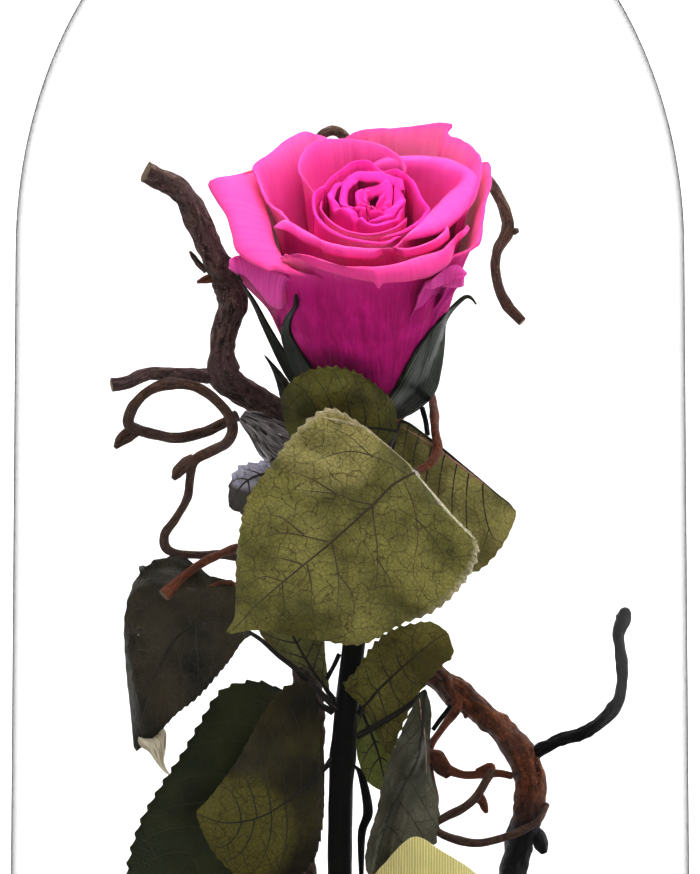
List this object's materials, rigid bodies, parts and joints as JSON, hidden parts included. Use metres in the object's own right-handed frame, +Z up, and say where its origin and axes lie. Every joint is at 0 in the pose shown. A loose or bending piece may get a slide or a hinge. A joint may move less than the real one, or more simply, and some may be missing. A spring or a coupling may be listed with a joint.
{
  "type": "preserved rose in glass dome",
  "caption": "Preserved pink rose with its leaves, contorted hazel twigs and a satin bow, standing on a round wooden base under a clear glass dome.",
  "frame": {"origin": "centre of the base's underside, which is also the bottom centre of the whole part", "axes": "+Z up along the dome's axis, the rose faces -Y, and +X is to the right of someone who looks at it"},
  "size_m": [0.17, 0.17, 0.2827],
  "materials": {
    "glass": "clear, polished",
    "base_wood": "dark stained, satin",
    "petal_pink": "velvety hot pink petal",
    "petal_guard": "bruised magenta petal",
    "sepal_green": "very dark green, waxy",
    "stem_dark": "near black, slightly glossy",
    "leaf_olive": "dry olive leaf with dark veins",
    "leaf_dark": "dark green leathery leaf",
    "bark": "rough grey brown bark",
    "bark_red": "reddish brown bark",
    "torn_wood": "torn silver grey fibres",
    "ribbon_satin": "ribbed yellow green satin"
  },
  "bodies": {
    "root": {"back_leaf": "leaf_dark", "back_twig": "bark", "base": "base_wood", "budded_twig": "bark_red", "curly_twig": "bark", "edge_leaf": "leaf_dark", "front_leaf": "leaf_olive", "front_leaf_stalk": "bark_red", "glass_dome": "glass", "green_leaf": "leaf_olive", "grey_leaf": "leaf_dark", "guard_petal_1": "petal_guard", "guard_petal_2": "petal_guard", "guard_petal_3": "petal_guard", "heart_petal_1": "petal_pink", "heart_petal_2": "petal_pink", "heart_petal_3": "petal_pink", "hooked_twig": "bark_red", "inner_petal_1": "petal_pink", "inner_petal_2": "petal_pink", "inner_petal_3": "petal_pink", "inner_petal_4": "petal_pink", "left_branch": "bark", "left_fork_twig": "bark", "left_leaf": "leaf_dark", "low_back_leaf": "leaf_dark", "low_front_leaf": "leaf_olive", "low_right_leaf": "leaf_olive", "middle_leaf": "leaf_olive", "outer_petal_1": "petal_pink", "outer_petal_2": "petal_pink", "outer_petal_3": "petal_pink", "outer_petal_4": "petal_pink", "outer_petal_5": "petal_pink", "ribbon_bow": "ribbon_satin", "ribbon_ends": "ribbon_satin", "ribbon_knot": "ribbon_satin", "right_branch": "bark_red", "right_fork_twig": "stem_dark", "right_leaf": "leaf_olive", "rose_hip": "sepal_green", "rose_stem": "stem_dark", "second_petal_1": "petal_pink", "second_petal_2": "petal_pink", "second_petal_3": "petal_pink", "second_petal_4": "petal_pink", "second_petal_5": "petal_pink", "sepal_1": "sepal_green", "sepal_2": "sepal_green", "sepal_3": "sepal_green", "sepal_4": "sepal_green", "sepal_5": "sepal_green", "short_twig": "bark_red", "third_petal_1": "petal_pink", "third_petal_2": "petal_pink", "third_petal_3": "petal_pink", "third_petal_4": "petal_pink", "torn_wood": "torn_wood", "upper_leaf": "leaf_olive", "wrapping_twig": "bark"}
  },
  "joints": []
}
